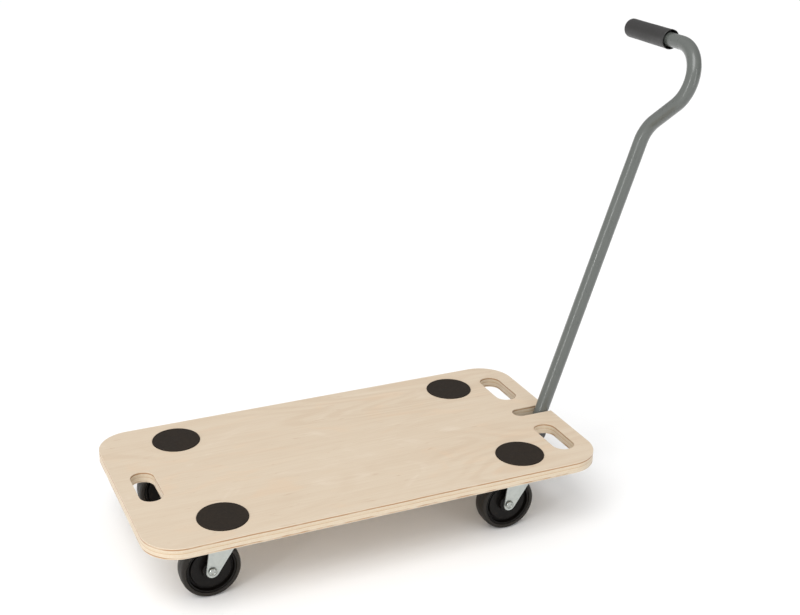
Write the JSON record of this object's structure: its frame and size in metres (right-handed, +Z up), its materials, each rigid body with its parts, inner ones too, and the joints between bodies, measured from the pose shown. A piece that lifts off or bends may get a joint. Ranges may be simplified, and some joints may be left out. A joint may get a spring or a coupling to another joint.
{
  "type": "folding platform cart",
  "caption": "Low platform cart with a plywood deck, hand holes, rubber pads and swivel casters; its crooked pull handle swings down and folds flat under the deck.",
  "frame": {"origin": "on the floor, under the middle of the whole cart's bounding box with the handle at rest", "axes": "+X along the deck towards the handle, +Y to the cart's left, +Z up"},
  "size_m": [0.7762, 0.3, 0.6111],
  "materials": {
    "birch_plywood": "clear-lacquered birch plywood with its plies showing at the edges",
    "pad_rubber": "matt brown-black rubber",
    "zinc_steel": "bright zinc-plated pressed steel",
    "bright_steel": "bright zinc-plated fasteners",
    "screw_steel": "zinc-plated screws",
    "black_plastic": "matt black moulded plastic",
    "tread_rubber": "matt black rubber tread",
    "grey_paint": "smooth grey-green powder coat, half gloss",
    "grip_rubber": "matt dark grey rubber",
    "dark_steel": "black coated steel"
  },
  "bodies": {
    "cart": {"deck": "birch_plywood", "hinge_bracket": "dark_steel", "hinge_bolt": "dark_steel", "hinge_nut": "dark_steel", "hinge_screw_1": "screw_steel", "hinge_screw_2": "screw_steel", "hinge_screw_3": "screw_steel", "hinge_screw_4": "screw_steel", "front_left_pad": "pad_rubber", "front_left_caster_plate": "zinc_steel", "front_left_kingpin": "zinc_steel", "front_left_screw_1": "screw_steel", "front_left_screw_2": "screw_steel", "front_left_screw_3": "screw_steel", "front_left_screw_4": "screw_steel", "front_right_pad": "pad_rubber", "front_right_caster_plate": "zinc_steel", "front_right_kingpin": "zinc_steel", "front_right_screw_1": "screw_steel", "front_right_screw_2": "screw_steel", "front_right_screw_3": "screw_steel", "front_right_screw_4": "screw_steel", "rear_left_pad": "pad_rubber", "rear_left_caster_plate": "zinc_steel", "rear_left_kingpin": "zinc_steel", "rear_left_screw_1": "screw_steel", "rear_left_screw_2": "screw_steel", "rear_left_screw_3": "screw_steel", "rear_left_screw_4": "screw_steel", "rear_right_pad": "pad_rubber", "rear_right_caster_plate": "zinc_steel", "rear_right_kingpin": "zinc_steel", "rear_right_screw_1": "screw_steel", "rear_right_screw_2": "screw_steel", "rear_right_screw_3": "screw_steel", "rear_right_screw_4": "screw_steel"},
    "handle": {"handle_tube": "grey_paint", "handle_grip": "grip_rubber", "handle_plug": "black_plastic"},
    "front_left_fork_body": {"front_left_fork": "zinc_steel", "front_left_axle": "bright_steel", "front_left_axle_nut": "bright_steel"},
    "front_left_wheel_body": {"front_left_wheel": "black_plastic", "front_left_tyre": "tread_rubber"},
    "front_right_fork_body": {"front_right_fork": "zinc_steel", "front_right_axle": "bright_steel", "front_right_axle_nut": "bright_steel"},
    "front_right_wheel_body": {"front_right_wheel": "black_plastic", "front_right_tyre": "tread_rubber"},
    "rear_left_fork_body": {"rear_left_fork": "zinc_steel", "rear_left_axle": "bright_steel", "rear_left_axle_nut": "bright_steel"},
    "rear_left_wheel_body": {"rear_left_wheel": "black_plastic", "rear_left_tyre": "tread_rubber"},
    "rear_right_fork_body": {"rear_right_fork": "zinc_steel", "rear_right_axle": "bright_steel", "rear_right_axle_nut": "bright_steel"},
    "rear_right_wheel_body": {"rear_right_wheel": "black_plastic", "rear_right_tyre": "tread_rubber"}
  },
  "joints": [
    {"name": "handle_fold", "type": "hinge", "parent": "cart", "child": "handle", "pos_m": [0.19292, 0, 0.07], "axis": [0, 1, 0], "range_deg": [-52, 251]},
    {"name": "front_left_swivel", "type": "hinge", "parent": "cart", "child": "front_left_fork_body", "pos_m": [0.11142, 0.099, 0.0815], "axis": [0, 0, 1], "continuous": true},
    {"name": "front_left_wheel_spin", "type": "hinge", "parent": "front_left_fork_body", "child": "front_left_wheel_body", "pos_m": [0.09342, 0.099, 0.0375], "axis": [0, 1, 0], "continuous": true},
    {"name": "front_right_swivel", "type": "hinge", "parent": "cart", "child": "front_right_fork_body", "pos_m": [0.11142, -0.099, 0.0815], "axis": [0, 0, 1], "continuous": true},
    {"name": "front_right_wheel_spin", "type": "hinge", "parent": "front_right_fork_body", "child": "front_right_wheel_body", "pos_m": [0.09342, -0.099, 0.0375], "axis": [0, 1, 0], "continuous": true},
    {"name": "rear_left_swivel", "type": "hinge", "parent": "cart", "child": "rear_left_fork_body", "pos_m": [-0.28758, 0.099, 0.0815], "axis": [0, 0, 1], "continuous": true},
    {"name": "rear_left_wheel_spin", "type": "hinge", "parent": "rear_left_fork_body", "child": "rear_left_wheel_body", "pos_m": [-0.30558, 0.099, 0.0375], "axis": [0, 1, 0], "continuous": true},
    {"name": "rear_right_swivel", "type": "hinge", "parent": "cart", "child": "rear_right_fork_body", "pos_m": [-0.28758, -0.099, 0.0815], "axis": [0, 0, 1], "continuous": true},
    {"name": "rear_right_wheel_spin", "type": "hinge", "parent": "rear_right_fork_body", "child": "rear_right_wheel_body", "pos_m": [-0.30558, -0.099, 0.0375], "axis": [0, 1, 0], "continuous": true}
  ]
}
